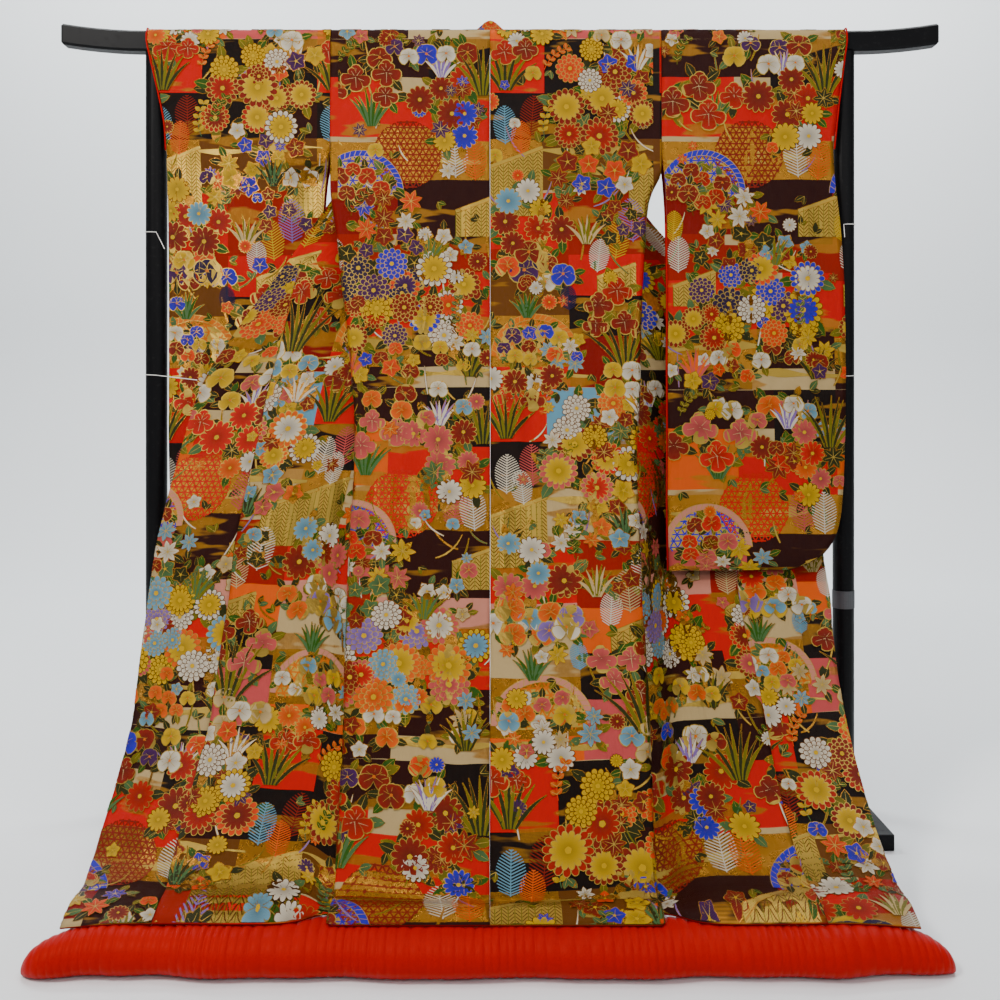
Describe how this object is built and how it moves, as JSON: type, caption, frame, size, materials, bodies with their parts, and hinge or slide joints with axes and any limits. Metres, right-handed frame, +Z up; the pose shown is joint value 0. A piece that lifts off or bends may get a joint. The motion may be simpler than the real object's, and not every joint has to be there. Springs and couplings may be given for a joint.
{
  "type": "uchikake wedding kimono on a kimono rack",
  "caption": "Brocade wedding overrobe hung back outwards on a black lacquered rack, fronts spread as wings, train on a padded red hem roll.",
  "frame": {"origin": "on the floor under the middle of the whole part's bounding box", "axes": "+X along the rack's bar to the viewer's right, -Y towards the viewer, where the robe's back and train face, +Z up"},
  "size_m": [1.706, 0.8559, 1.5358],
  "materials": {
    "brocade": "silk brocade with gold thread",
    "red_silk": "satin",
    "black_lacquer": "black lacquer, high gloss",
    "tape": "matt tape",
    "thread": "cotton thread"
  },
  "bodies": {
    "root": {"back_left": "brocade", "back_right": "brocade", "front_left": "brocade", "front_right": "brocade", "okumi_left": "brocade", "okumi_right": "brocade", "collar_left": "brocade", "collar_right": "brocade", "collar_neck": "brocade", "sleeve_left_outer": "brocade", "sleeve_left_inner": "brocade", "sleeve_right_outer": "brocade", "sleeve_right_inner": "brocade", "hem_roll": "red_silk", "sleeve_left_wrist_roll": "red_silk", "sleeve_left_inner_roll": "red_silk", "sleeve_right_wrist_roll": "red_silk", "sleeve_right_inner_roll": "red_silk", "rack_bar": "black_lacquer", "rack_post_left": "black_lacquer", "rack_post_right": "black_lacquer", "rack_foot_left": "black_lacquer", "rack_foot_right": "black_lacquer", "rack_rail": "black_lacquer", "rack_tape": "tape", "tie_left_upper": "thread", "tie_left_lower": "thread", "tie_right_upper": "thread", "tie_right_lower": "thread"}
  },
  "joints": []
}
